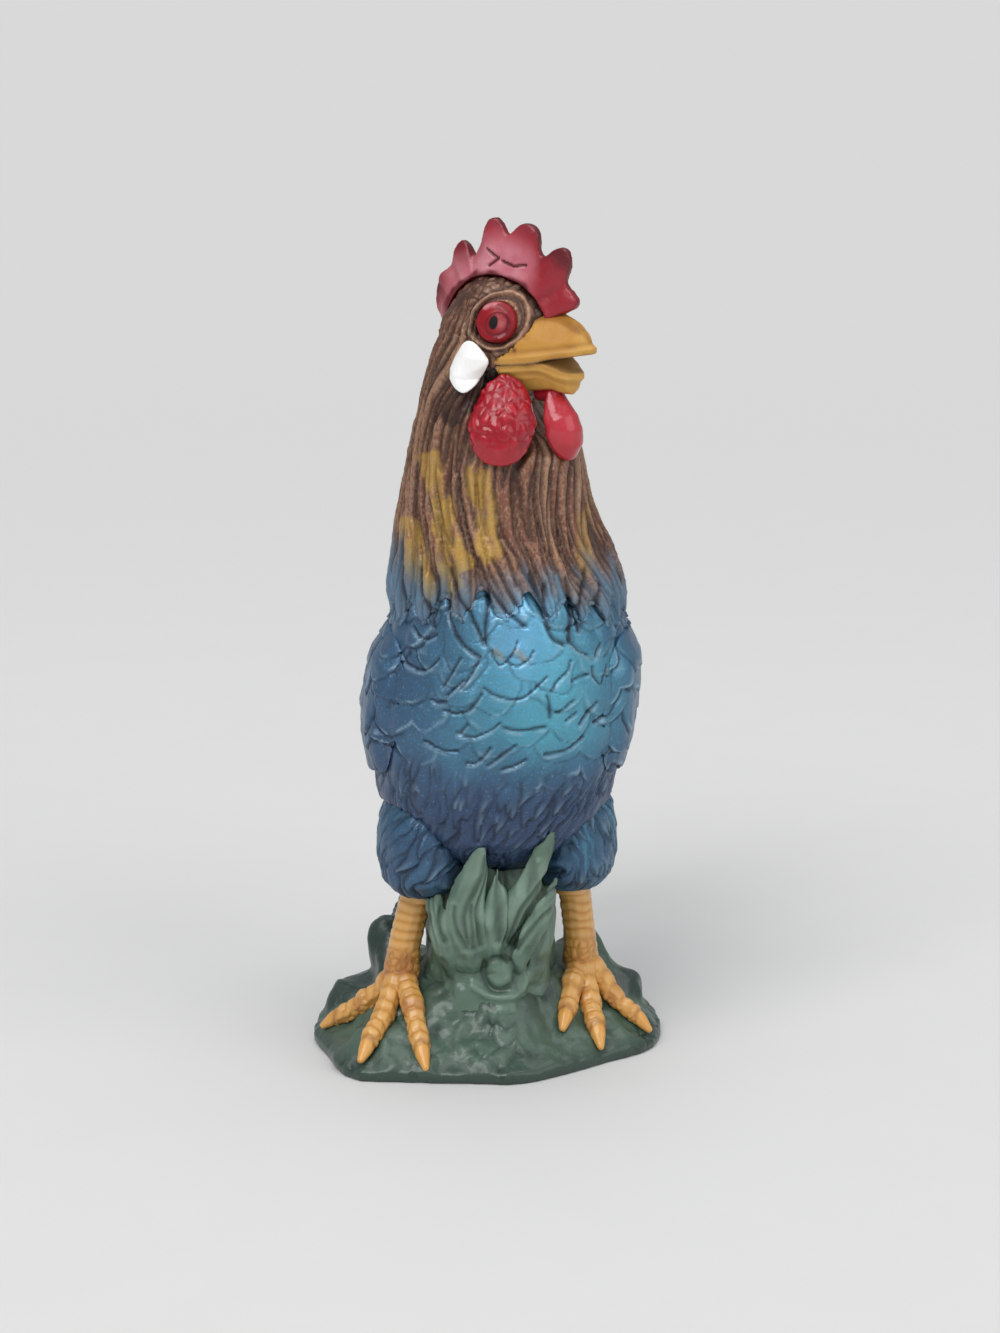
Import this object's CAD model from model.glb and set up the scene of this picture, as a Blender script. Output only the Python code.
import math

import bpy
import numpy as np
from mathutils import Matrix, Vector


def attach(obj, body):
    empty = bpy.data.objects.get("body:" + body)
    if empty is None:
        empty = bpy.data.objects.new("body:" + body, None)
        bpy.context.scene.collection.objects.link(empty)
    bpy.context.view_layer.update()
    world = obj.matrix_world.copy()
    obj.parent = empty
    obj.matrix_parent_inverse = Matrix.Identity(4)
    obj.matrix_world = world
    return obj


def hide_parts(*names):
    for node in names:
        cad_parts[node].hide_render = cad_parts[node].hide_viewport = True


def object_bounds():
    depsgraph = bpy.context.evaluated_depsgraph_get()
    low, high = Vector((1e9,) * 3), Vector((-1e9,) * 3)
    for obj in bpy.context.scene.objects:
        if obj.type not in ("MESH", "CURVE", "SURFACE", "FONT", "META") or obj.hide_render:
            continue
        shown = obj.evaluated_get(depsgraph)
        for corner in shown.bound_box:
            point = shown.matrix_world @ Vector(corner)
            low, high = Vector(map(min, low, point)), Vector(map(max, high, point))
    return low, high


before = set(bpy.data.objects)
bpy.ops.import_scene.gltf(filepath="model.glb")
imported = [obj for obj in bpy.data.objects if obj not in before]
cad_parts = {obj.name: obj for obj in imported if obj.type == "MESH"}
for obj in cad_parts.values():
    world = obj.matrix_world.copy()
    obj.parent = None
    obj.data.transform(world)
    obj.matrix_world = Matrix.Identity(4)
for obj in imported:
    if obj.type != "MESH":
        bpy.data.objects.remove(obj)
CAD_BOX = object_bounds()

bl_info = {
    "name": "Painted rooster figure",
    "version": (1, 0, 0),
    "blender": (4, 5, 0),
    "location": "3D View > Sidebar > Rooster",
    "description": "Dresses a moulded rooster figure with carved feathers and brushed paint",
    "category": "Object",
}

# Millimetres in a metre, the unit that the carving works in
MM = 1000.0

# Places on the figure, in millimetres
BELLY_Z = 18.5
BODY_H = 33.0
BODY_TOP = BELLY_Z + BODY_H
SKIRT_Z = 41.8
NECK_H = 27.0
COLLAR_Z = SKIRT_Z + NECK_H
HEAD_Z = COLLAR_Z - 0.5
HEAD_Y = -0.992
HEAD_TURN = math.radians(55)
HEAD_SIDE = np.array([math.cos(HEAD_TURN), math.sin(HEAD_TURN), 0])
HEAD_BACK = np.array([-math.sin(HEAD_TURN), math.cos(HEAD_TURN), 0])
EYE_Y = -2.17
CROWN_H = 5.7
THROAT_H = 7.8
EYE_Z = HEAD_Z + 0.35 * CROWN_H
GAPE_Z = HEAD_Z - 0.22 * THROAT_H
WING_Z = BELLY_Z + 0.5 * BODY_H
TAIL_Y = 18.5
TAIL_Z = BELLY_Z + 0.6 * BODY_H
TAIL_L = 16.0
SICKLE_SPREAD = 11.0
RIGHT_SPREAD = 0.68
PLUME_TWIST = 40.0
BASE_R = 16.7
MOUND_X = -0.07 * BASE_R
MOUND_Y = 0.12 * BASE_R
TUFT_X = -0.97
# Radii that feathers, strokes and strands are counted round
BODY_R = 11.6
HIP_R = 10.5
NECK_R = 10.9
# Millimetres round the flank in one degree of turn
WING_STEP = 13 / 57.3
# A distance beyond the reach of every mark
FAR = 9.0
# Points that are compared with a plume's path at a time
BLOCK = 20000

# Feet and toe tips, as shares of the mound's radius from its middle
FEET = {
    "leg_left": ((-0.485, -0.27), [(-0.95, -0.18), (-0.71, -0.76), (-0.34, -0.83), (-0.4, 0.1)]),
    "leg_right": ((0.533, -0.05), [(0.42, -0.5), (0.64, -0.51), (0.93, -0.23), (0.73, 0.1)]),
}
# Middle lines of the plumes, as shares of the sickles' spread, the tail's length and the body's top
SICKLE_PATH = [(0.24, -0.11, 0.864), (0.21, 0.1, 0.98), (0.2, 0.4, 1.01), (0.29, 0.62, 0.9),
               (0.42, 0.62, 0.7), (0.58, 0.46, 0.47), (0.75, 0.14, 0.25), (1.02, -0.24, 0.11)]
COVERT_PATH = [(0.27, 0.01, 0.81), (0.25, 0.14, 0.855), (0.24, 0.28, 0.815), (0.27, 0.35, 0.7),
               (0.34, 0.28, 0.56), (0.42, 0.13, 0.44)]

# Lights as name, place, size and power, and the camera and the floor, in metres
LIGHTS = (("key_light", (-0.6, -1.1, 1.5), 1.1, 19.0), ("fill_light", (1.2, -0.8, 0.9), 1.3, 7.0),
          ("top_light", (0.1, 0.2, 1.9), 1.6, 13.0))
LIGHT_AIM = (0, 0, 0.04)
CAMERA_PLACE = (0, -0.3396, 0.12167)
CAMERA_AIM = (0, 0, 0.037)
CAMERA_LENS = 134.8
FLOOR_R = 3

# Lines carved over the breast, as places of compass turn in degrees and height
BREAST_LINES = (
    ((-97, 38), (-93, 37.4), (-87, 37.1), (-82, 37), (-77, 37.5), (-73, 38.2), (-70, 38.9)),
    ((-89, 34.5), (-85, 34.2), (-79, 34.1), (-71, 34.3)),
    ((-98, 37.4), (-100, 36.7), (-103, 35.9), (-108, 35.6), (-114, 35.7)),
    ((-90, 34.8), (-93, 34.3), (-97, 33.8), (-102, 33.5), (-108, 33.8)),
    ((-107, 33.7), (-104, 34.6)),
    ((-123, 32.7), (-119, 32.4), (-113, 32), (-108, 32)),
    ((-104, 31), (-100, 31.1), (-96, 31.9), (-94, 32.5)),
    ((-95, 30.9), (-91, 31.5), (-87, 32.2), (-83, 32.7)),
    ((-89, 30.5), (-84, 30.8), (-79, 31.4)),
    ((-71, 31.7), (-63, 31.9), (-58, 32.3), (-53, 33)),
    ((-66, 35.5), (-62, 36), (-58, 36.5)),
    ((-68, 37.7), (-64, 38.5), (-60, 39.3), (-58, 40.1)),
    ((-62, 34.6), (-60, 34.9), (-57, 35.3)),
    ((-55, 34.1), (-52, 35), (-47, 36)),
    ((-48, 34.1), (-43, 34.6), (-42, 35.4)),
    ((-58, 38.2), (-55, 38.5), (-50, 38.7)),
    ((-48, 39.3), (-48, 38.4), (-45, 37.6)),
    ((-40, 39.1), (-42, 38.2), (-44, 37.6)),
    ((-58, 42), (-55, 41), (-50, 40.4)),
    ((-42, 41.2), (-45, 40.6), (-46, 40.2)),
    ((-94, 41.3), (-93, 40.7), (-90, 40.1), (-87, 40.4), (-84, 41.1), (-82, 42)),
    ((-87, 40.4), (-84, 40), (-81, 40), (-77, 40.5), (-75, 41.2)),
    ((-141, 40.1), (-137, 39.4), (-130, 39), (-124, 39.2), (-120, 39.9), (-119, 40.3)),
    ((-136, 42.6), (-131, 41.9), (-126, 41.8), (-122, 42.3)),
    ((-99, 40.6), (-101, 39.8), (-104, 38.7), (-107, 37.9)),
    ((-108, 40.5), (-110, 39.7), (-113, 38.6), (-115, 37.9)),
    ((-113, 37.1), (-110, 37.7), (-106, 38.6)),
    ((-69, 35.2), (-69, 36.2), (-70, 37.2)),
    ((-33, 31.5), (-27, 32.2), (-20, 33.2)),
    ((-121, 36.6), (-117, 36.4), (-113, 36.6)))
# Deep lines between the hackle's lowest strands, which run on over the breast
HACKLE_LINES = (
    ((-116, 48.4), (-111, 46.1), (-106, 44.9), (-101, 43.1), (-97, 41.7)),
    ((-115, 46.1), (-116, 44.3), (-111, 42.6), (-106, 41.5), (-100, 40.8)),
    ((-94, 49.3), (-90, 48), (-86, 46.5), (-81, 45.1)),
    ((-101, 49.4), (-97, 47.6), (-93, 46.3), (-87, 44.8), (-78, 43.3)),
    ((-96, 46.9), (-96, 44.9), (-97, 43.6), (-97, 41.7)),
    ((-75, 48), (-73, 46.6), (-70, 44.9), (-68, 43.5), (-66, 42.4), (-61, 41.6)),
    ((-68, 47), (-69, 44.9), (-67, 42.8)),
    ((-44, 47.9), (-48, 46.2), (-54, 44.6), (-57, 43.2), (-58, 41.7)),
    ((-57, 47.4), (-56, 44.9), (-57, 43.3), (-58, 41.7)),
    ((-134, 48), (-131, 45.9), (-126, 44.5), (-124, 42.9)),
    ((-124, 47.4), (-122, 45.2), (-124, 43.8)),
    ((-37, 46.4), (-41, 44.6), (-37, 43)),
    ((-50, 45.7), (-53, 44.2), (-53, 42.6)),
    ((-16, 47), (-13, 45.2), (-14, 43)),
    ((-148, 47.6), (-147, 45.6), (-145, 43.7)))
# Edges of the leaves on the front of the grass tuft, as places across and up
LEAF_LINES = (
    ((-1.8, 12.2), (-2.2, 15.6), (-2.6, 18.7), (-2.5, 21)),
    ((-0.3, 12.6), (-0.4, 15.5), (-0.4, 19), (-0.9, 21.5)),
    ((-0.1, 12.6), (-0.2, 17.3), (0.1, 20)), ((0.4, 12.4), (0.5, 17.1), (0.1, 20)),
    ((0.8, 12.2), (1.6, 15.3), (3.3, 17.8), (5, 20), (6.1, 22)),
    ((1, 11.9), (2.3, 15.2), (3.9, 17.1), (5.6, 17.9), (7.1, 18)),
    ((1.5, 11.7), (3.3, 14.3), (4.9, 15.9), (6.1, 17)),
    ((-3, 12.3), (-3.4, 15.6), (-3.3, 18.7), (-2.9, 20.6)), ((-2.5, 11.9), (-2.6, 14.8), (-3.1, 16.5)),
    ((-6.6, 14.8), (-6.8, 13), (-6.5, 11)), ((-5.4, 15.7), (-5.7, 14), (-5.1, 12.3)),
    ((-4.4, 16.2), (-4.1, 14), (-3.1, 11.9)))

# Feather tips: how late a feather narrows, and how bluntly it ends
ROUND_TIP = (3.2, 0.5)
LEAF_TIP = (2.2, 0.62)
POINTED_TIP = (1.7, 0.85)


def linear(code):
    """A colour such as #c08040 as linear red, green and blue"""
    channels = [int(code[i:i + 2], 16) / 255 for i in (1, 3, 5)]
    return [c / 12.92 if c <= 0.04045 else ((c + 0.055) / 1.055) ** 2.4 for c in channels]


def colour(name, description, code):
    return bpy.props.FloatVectorProperty(
        name=name, description=description, default=linear(code), subtype="COLOR", min=0, max=1)


def length(name, description, millimetres):
    return bpy.props.FloatProperty(
        name=name, description=description, default=millimetres / MM, min=0, unit="LENGTH",
        precision=5)


class RoosterSizes(bpy.types.PropertyGroup):
    """Sizes of the carving"""
    seam: length("Seam filler", "Paint that closes the gap between neighbouring mouldings", 0.07)
    scale_w: length("Breast feather width", "Width of a breast feather", 4.0)
    scale_pitch: length("Breast feather step", "Step from one row of breast feathers to the next", 2.5)
    scale_lift: length("Breast feather lift", "Height of a breast feather's tip", 0.2)
    line_w: length("Line width", "Width of a carved line between feathers", 0.13)
    line_depth: length("Line depth", "Depth of a carved line between feathers", 0.24)
    strand_w: length("Strand width", "Width of a hackle strand at the shoulders", 1.7)
    strand_depth: length("Strand depth", "Depth of the grooves between hackle strands", 0.5)
    hair_w: length("Hair width", "Width of a stroke on the thighs and the belly", 1.15)
    scute_pitch: length("Scute step", "Step from one leg scale to the next", 0.95)
    scute_depth: length("Scute depth", "Depth of the lines between leg scales", 0.1)
    pebble_d: length("Pebble size", "Size of the pebbles on the near wattle", 0.95)
    pebble_h: length("Pebble height", "Height of the pebbles on the near wattle", 0.14)


class RoosterColours(bpy.types.PropertyGroup):
    """Colours of the paint"""
    breast_sky: colour("Breast sky", "Brightest blue high on the breast", "#80bde2")
    breast_teal: colour("Breast teal", "Teal in the middle of the breast", "#60acbc")
    breast_side: colour("Breast side", "Slate blue on the flanks", "#46627a")
    breast_navy: colour("Breast navy", "Violet navy on the belly and the thighs", "#36435f")
    breast_ink: colour("Breast ink", "Dark wash in the lines between blue feathers", "#10182b")
    breast_glint: colour("Breast glint", "Pale rub on the edges of blue feathers", "#a8cbe0")
    hackle_bronze: colour("Hackle bronze", "Brown mauve of the hackle strands", "#80594a")
    hackle_umber: colour("Hackle umber", "Dark wash between the hackle strands", "#28130c")
    hackle_sand: colour("Hackle sand", "Pale speckle on the ridges of the strands", "#b99a80")
    hackle_gold: colour("Hackle gold", "Gold brushed over some strands", "#bd9c50")
    hackle_blue: colour("Hackle blue", "Grey blue of the lowest strand tips", "#66798a")
    comb_pink: colour("Comb pink", "Satin mauve pink of the comb's side", "#c66c7a")
    comb_red: colour("Comb red", "Red of the comb's spikes and brow", "#a31a2a")
    comb_dark: colour("Comb dark", "Dark red of the comb's tips and seam", "#640c18")
    wattle_red: colour("Wattle red", "Glossy red of the wattles", "#b21428")
    wattle_dark: colour("Wattle dark", "Dark red between the pebbles", "#6b0d18")
    eye_red: colour("Eye red", "Glossy red of the eye", "#94101c")
    eye_black: colour("Eye black", "Pupil", "#0b0908")
    lobe_white: colour("Lobe white", "Glossy white of the ear lobes", "#fcfcfa")
    beak_ochre: colour("Beak ochre", "Ochre of the beak", "#c48d3c")
    beak_brown: colour("Beak brown", "Brown in the creases of the beak", "#6b3d1c")
    beak_straw: colour("Beak straw", "Yellow at the beak's tip and ridge", "#d8b062")
    mouth_grey: colour("Mouth grey", "Inside of the mouth", "#8a7a5e")
    leg_ochre: colour("Leg ochre", "Ochre of the legs", "#dda351")
    leg_brown: colour("Leg brown", "Brown in the lines between leg scales", "#7a4a1e")
    leg_pale: colour("Leg pale", "Pale rub on the leg scales", "#dcbb84")
    leg_rust: colour("Leg rust", "Rust spots on the toe joints", "#a9662f")
    grass_green: colour("Grass green", "Grey green of the mound and the grass", "#5c7565")
    grass_deep: colour("Grass deep", "Darker green wash in the hollows", "#23382f")
    grass_pale: colour("Grass pale", "Pale rub on the blades and lumps", "#8ba694")
    tail_green: colour("Tail green", "Green black of the tail", "#22342f")
    tail_black: colour("Tail black", "Dark wash between the barbs", "#0b1210")
    tail_violet: colour("Tail violet", "Violet sheen on the sickles", "#4d4f66")
    floor_grey: colour("Floor", "Pale floor", "#dcdcda")
    backdrop_grey: colour("Backdrop", "Backdrop far behind the figure", "#d8d9d8")


# Numbers over a surface

def clip(value):
    return np.clip(value, 0, 1)


def blend(first, second, share):
    """first where share is 0, second where it is 1"""
    return first * (1 - share) + second * share


def ramp(low, high, value):
    t = clip((value - low) / (high - low))
    return t * t * (3 - 2 * t)


def bell(value, width):
    return np.exp(-(value / width) ** 2)


def hashed(a, b, c, seed):
    """Even random numbers from 0 to 1, one for each whole-number place"""
    h = (np.asarray(a, np.int64) * 73856093) ^ (np.asarray(b, np.int64) * 19349663)
    h = (h ^ (np.asarray(c, np.int64) * 83492791) ^ (seed * 2654435761)) & 0xFFFFFFFF
    h = ((h ^ (h >> 13)) * 1274126177) & 0xFFFFFFFF
    h = ((h ^ (h >> 15)) * 461845907) & 0xFFFFFFFF
    return ((h ^ (h >> 16)) & 0xFFFFFF) / 16777216.0


def noise(at, size, seed):
    """Smooth noise from -1 to 1 with lumps of a size"""
    q = at / size
    cell = np.floor(q).astype(np.int64)
    t = q - cell
    t = t * t * (3 - 2 * t)
    total = np.zeros(len(at))
    for x in (0, 1):
        for y in (0, 1):
            for z in (0, 1):
                weight = ((t[:, 0] if x else 1 - t[:, 0]) * (t[:, 1] if y else 1 - t[:, 1])
                          * (t[:, 2] if z else 1 - t[:, 2]))
                total += weight * hashed(cell[:, 0] + x, cell[:, 1] + y, cell[:, 2] + z, seed)
    return 2 * total - 1


def cloud(at, size, seed):
    return (noise(at, size, seed) + 0.5 * noise(at, size / 2.1, seed + 1)) / 1.5


def pebbles(at, size, seed):
    """Distance to the nearest and to the second nearest of scattered points, in sizes"""
    q = at / size
    cell = np.floor(q).astype(np.int64)
    near, second = np.full(len(at), FAR), np.full(len(at), FAR)
    for x in (-1, 0, 1):
        for y in (-1, 0, 1):
            for z in (-1, 0, 1):
                c = cell + (x, y, z)
                point = c + np.stack([hashed(c[:, 0], c[:, 1], c[:, 2], seed + k)
                                      for k in range(3)], 1)
                d = np.linalg.norm(q - point, axis=1)
                second = np.minimum(second, np.maximum(near, d))
                near = np.minimum(near, d)
    return near, second


def shingles(u, v, width, pitch, reach, seed, tip, stray=0.25, count=1000, wide=1.18):
    """Feathers in overlapping rows, the upper row on top. u counts columns, v runs down in millimetres.
    Gives along, across, chance and gap, the distance to the nearest outline."""
    n = len(u)
    found = np.zeros(n, bool)
    along, across, chance = np.zeros(n), np.zeros(n), np.full(n, 0.5)
    gap = np.full(n, FAR)
    top = np.floor(v / pitch)
    half = 0.5 * width * wide
    for back in range(int(math.ceil(reach / pitch)) + 1, -1, -1):
        row = top - back
        shift = 0.5 * np.mod(row, 2)
        first = np.floor(u - shift)
        inside = np.full(n, -FAR)
        pick = [np.zeros(n)] * 3
        for step in (-1, 0, 1):
            column = np.mod(first + step, count)
            dice = [hashed(row, column, k, seed) - 0.5 for k in (1, 2, 3, 4)]
            centre = first + step + 0.5 + shift + 2 * stray * dice[0]
            a = (u - centre) * width / half
            long = reach * (1 + stray * dice[2])
            b = (v - row * pitch - 2 * stray * dice[1] * pitch) / long
            k = np.clip(b, 0, 0.999)
            profile = (1 - k ** tip[0]) ** tip[1]
            slope = tip[0] * tip[1] * k ** (tip[0] - 1) * (1 - k ** tip[0]) ** (tip[1] - 1) * half / long
            d = (profile - np.abs(a)) * half / np.sqrt(1 + slope * slope)
            d = np.where(b < 0, -FAR, np.where(b > 1, -np.hypot((b - 1) * long, a * half), d))
            better = d > inside
            inside = np.where(better, d, inside)
            for i, value in enumerate((b, a, dice[3] + 0.5)):
                pick[i] = np.where(better, value, pick[i])
        gap = np.where(found, gap, np.minimum(gap, np.abs(inside)))
        new = ~found & (inside > 0)
        along, across, chance = [np.where(new, p, old)
                                 for p, old in zip(pick, (along, across, chance))]
        found |= new
    return along, across, chance, gap


def smooth(points, steps):
    """Places along a smooth curve through some points, in equal steps from one to the next"""
    points = np.array(points, float)
    n = len(points) - 1
    path = []
    for k in range(steps * n + 1):
        i = min(k // steps, n - 1)
        t = k / steps - i
        a, b, c, d = points[max(i - 1, 0)], points[i], points[i + 1], points[min(i + 2, n)]
        path.append((2 * b + (c - a) * t + (2 * a - 5 * b + 4 * c - d) * t ** 2
                     + (3 * b - a - 3 * c + d) * t ** 3) / 2)
    return np.array(path)


def segment_distance(x, z, start, end):
    """Distance to the straight line between two places"""
    (ax, az), (bx, bz) = start, end
    t = clip(((x - ax) * (bx - ax) + (z - az) * (bz - az)) / ((bx - ax) ** 2 + (bz - az) ** 2))
    return np.hypot(x - ax - t * (bx - ax), z - az - t * (bz - az))


def line_distance(x, z, strokes):
    """Distance to the nearest of some curves, each a list of places"""
    near = np.full(len(x), FAR)
    for stroke in strokes:
        path = smooth(stroke, 4)
        low, high = path.min(0) - 1.5, path.max(0) + 1.5
        k = np.nonzero((x > low[0]) & (x < high[0]) & (z > low[1]) & (z < high[1]))[0]
        for start, end in zip(path, path[1:]):
            near[k] = np.minimum(near[k], segment_distance(x[k], z[k], start, end))
    return near


def capsule(x, z, ends, radius):
    """1 inside a round-ended stroke across the front, falling to 0 at its edge"""
    return 1 - ramp(0.55 * radius, radius, segment_distance(x, z, *ends))


def lump(skin, place, reach):
    """A soft lump about a place, with a reach along each axis"""
    return bell(np.linalg.norm((skin.at - place) / reach, axis=1), 1.0)


def on_mound(shares):
    """A place on the mound, given as shares of its radius from its middle"""
    return np.array([MOUND_X + shares[0] * BASE_R, MOUND_Y + shares[1] * BASE_R])


def add_object(name, data):
    made = bpy.data.objects.new(name, data)
    bpy.context.scene.collection.objects.link(made)
    return made


def aim(thing, place, target):
    """Puts a light or the camera at a place and turns it to a target"""
    thing.location = place
    thing.rotation_euler = (Vector(target) - thing.location).to_track_quat("-Z", "Y").to_euler()


class Skin:
    """A node's skin, cut into fine faces to be carved along its normals, in millimetres"""

    def __init__(self, node, cell, turns, seam):
        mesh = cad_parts[node].data.copy()
        mesh.transform(Matrix.Scale(MM, 4))
        blank = add_object(node + "_blank", mesh)
        fine = blank.modifiers.new("Fine skin", "REMESH")
        fine.mode = "VOXEL"
        fine.voxel_size = cell
        soft = blank.modifiers.new("Soft facets", "SMOOTH")
        soft.factor = 0.5
        soft.iterations = turns
        graph = bpy.context.evaluated_depsgraph_get()
        self.mesh = bpy.data.meshes.new_from_object(blank.evaluated_get(graph))
        bpy.data.objects.remove(blank)
        bpy.data.meshes.remove(mesh)
        if not len(self.mesh.vertices):
            raise RuntimeError(f"{node} came out empty")
        self.node = node
        self.seam = seam * MM
        self.at = self.read("co", self.mesh.vertices)
        self.out = self.read("vector", self.mesh.vertex_normals)
        self.masks = {}

    @staticmethod
    def read(name, items):
        flat = np.empty(len(items) * 3, np.float32)
        items.foreach_get(name, flat)
        return flat.reshape(-1, 3).astype(float)

    @property
    def x(self):
        return self.at[:, 0]

    @property
    def y(self):
        return self.at[:, 1]

    @property
    def z(self):
        return self.at[:, 2]

    def turn(self, x=0.0, y=0.0):
        """Compass turn about an upright axis, in degrees; the front is at -90"""
        return np.degrees(np.arctan2(self.y - y, self.x - x))

    def head(self):
        """The same points with the head facing along -Y"""
        c, s = HEAD_SIDE[:2]
        x, y = self.x, self.y - HEAD_Y
        return np.stack([x * c + y * s, y * c - x * s, self.z], 1)

    def noise(self, size, seed, stretch=(1, 1, 1)):
        return noise(self.at * stretch, size, seed)

    def cloud(self, size, seed):
        return cloud(self.at, size, seed)

    def share_up(self):
        """0 at the lowest point, 1 at the highest"""
        return (self.z - self.z.min()) / np.ptp(self.z)

    def mark(self, **masks):
        """Keeps masks for the paint, each with a number for every point"""
        self.masks.update(masks)

    def carve(self, height):
        self.at = self.at + self.out * (height + self.seam)[:, None]

    def piece(self, name, slot, material):
        """The finished piece, in metres, in place of its node"""
        low, high = [np.array(corner) * MM for corner in CAD_BOX]
        at = np.clip(self.at, low, high) / MM
        self.mesh.vertices.foreach_set("co", at.astype(np.float32).ravel())
        self.mesh.polygons.foreach_set("use_smooth", np.ones(len(self.mesh.polygons), bool))
        for mask, values in self.masks.items():
            layer = self.mesh.attributes.new(mask, "FLOAT", "POINT")
            layer.data.foreach_set("value", np.asarray(values, np.float32))
        self.mesh.materials.clear()
        self.mesh.materials.append(material)
        self.mesh.update()
        self.mesh.name = name
        piece = add_object(name, self.mesh)
        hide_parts(self.node)
        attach(piece, "root")


# Materials

class Wire:
    """A socket of a material that takes part in plain sums"""

    def __init__(self, paint, socket):
        self.paint = paint
        self.socket = socket

    def sum(self, operation, *values):
        return self.paint.node("ShaderNodeMath", {"operation": operation}, dict(enumerate(values)))

    def __add__(self, other):
        return self.sum("ADD", self, other)

    def __radd__(self, other):
        return self.sum("ADD", other, self)

    def __sub__(self, other):
        return self.sum("SUBTRACT", self, other)

    def __rsub__(self, other):
        return self.sum("SUBTRACT", other, self)

    def __mul__(self, other):
        return self.sum("MULTIPLY", self, other)

    def __rmul__(self, other):
        return self.sum("MULTIPLY", other, self)

    def __truediv__(self, other):
        return self.sum("DIVIDE", self, other)

    def __pow__(self, other):
        return self.sum("POWER", self, other)

    def between(self, low, high):
        """0 at low, 1 at high, with soft ends"""
        return self.paint.node("ShaderNodeMapRange", {"interpolation_type": "SMOOTHSTEP"},
                               {"Value": self, "From Min": low, "From Max": high})


class Paint:
    """A material in the making"""

    def __init__(self, name):
        self.material = bpy.data.materials.new(name)
        self.material.use_nodes = True
        self.tree = self.material.node_tree
        self.tree.nodes.clear()
        self.place = self.node("ShaderNodeTexCoord", {}, {}, "Object")

    def node(self, kind, settings, values, out=0):
        made = self.tree.nodes.new(kind)
        for key, value in settings.items():
            setattr(made, key, value)
        for key, value in values.items():
            if isinstance(value, Wire):
                self.tree.links.new(value.socket, made.inputs[key])
            else:
                made.inputs[key].default_value = value
        return Wire(self, made.outputs[out])

    def mask(self, name):
        return self.node("ShaderNodeAttribute", {"attribute_name": name}, {}, "Fac")

    def mix(self, factor, first, second, blend="MIX"):
        """first where factor is 0, second where it is 1"""
        first, second = [v if isinstance(v, Wire) else (*v[:3], 1) for v in (first, second)]
        return self.node("ShaderNodeMix", {"data_type": "RGBA", "blend_type": blend},
                         {0: factor, 6: first, 7: second}, 2)

    def grain(self, size, detail=2.0, stretch=(1, 1, 1)):
        """Noise with lumps of a size in millimetres"""
        spot = self.node("ShaderNodeMapping", {}, {"Vector": self.place, "Scale": stretch})
        return self.node("ShaderNodeTexNoise", {}, {"Vector": spot, "Scale": MM / size, "Detail": detail})

    def finish(self, base, rough, relief, depth=0.02, **constants):
        """Joins the shader: what varies over the surface, the bump's relief and depth in millimetres,
        and the shader's constant sockets"""
        bump = self.node("ShaderNodeBump", {}, {"Height": relief, "Distance": depth / MM, "Strength": 1.0})
        constants = {key.replace("_", " "): value for key, value in constants.items()}
        shader = self.node("ShaderNodeBsdfPrincipled", {}, {
            "Base Color": base, "Roughness": rough, "Normal": bump, **constants})
        output = self.tree.nodes.new("ShaderNodeOutputMaterial")
        self.tree.links.new(shader.socket, output.inputs["Surface"])
        return self.material


def pearl(paint, base, wash, rub, rough=0.42, metal=0.35, coat=0.12):
    """Brushed metallic paint: dark wash in the lines, pale rub on the edges, and fine metal speckle"""
    speckle = paint.grain(0.22, 2.0)
    blotch = paint.grain(2.2, 3.0)
    base = paint.mix(speckle.between(0.3, 0.7), base, rub, "SOFT_LIGHT")
    base = paint.mix(speckle.between(0.6, 0.78) * 0.22, base, rub)
    base = paint.mix(paint.mask("rub") * (0.25 + blotch * 0.7), base, rub)
    base = paint.mix(paint.mask("wash") * (1.15 - blotch * 0.5), base, wash)
    return paint.finish(base, rough - 0.12 + 0.24 * speckle, speckle + paint.grain(0.4), 0.035,
                        Metallic=metal, Coat_Weight=coat, Coat_Roughness=0.3)


def blue_paint(name, colours):
    """Breast, wings and thighs"""
    paint = Paint(name)
    base = paint.mix(paint.mask("teal"), colours.breast_side, colours.breast_teal)
    base = paint.mix(paint.mask("glow"), base, colours.breast_sky)
    base = paint.mix(paint.mask("dusk"), base, colours.breast_navy)
    base = paint.mix(paint.mask("gold") * 0.75, base, colours.hackle_gold)
    base = paint.mix(paint.mask("shade") * 0.3, base, colours.breast_navy)
    return pearl(paint, base, colours.breast_ink, colours.breast_glint, 0.4, 0.42, 0.15)


def hackle_paint(name, colours):
    """Hackle, saddle and head"""
    paint = Paint(name)
    sand = (paint.grain(0.24, 3.0, (1, 1, 0.6)) + paint.mask("shade") * 0.2).between(0.48, 0.74)
    base = paint.mix(sand * 0.62, colours.hackle_bronze, colours.hackle_sand)
    base = paint.mix(paint.mask("gold"), base, colours.hackle_gold)
    low = paint.mix(paint.mask("teal") * 0.3, colours.hackle_blue, colours.breast_teal)
    low = paint.mix(paint.mask("glow"), low, colours.breast_sky)
    fade = paint.mask("fade")
    base = paint.mix(fade, base, low)
    wash = paint.mix(fade * 0.85, colours.hackle_umber, colours.breast_ink)
    rub = paint.mix(fade, colours.hackle_sand, colours.breast_glint)
    return pearl(paint, base, wash, rub, 0.46, 0.28, 0.1)


def tail_paint(name, colours):
    """Tail fan, coverts and sickles"""
    paint = Paint(name)
    base = paint.mix(paint.mask("shade") * 0.7, colours.tail_green, colours.tail_violet)
    return pearl(paint, base, colours.tail_black, colours.breast_glint, 0.32, 0.4, 0.3)


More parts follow.
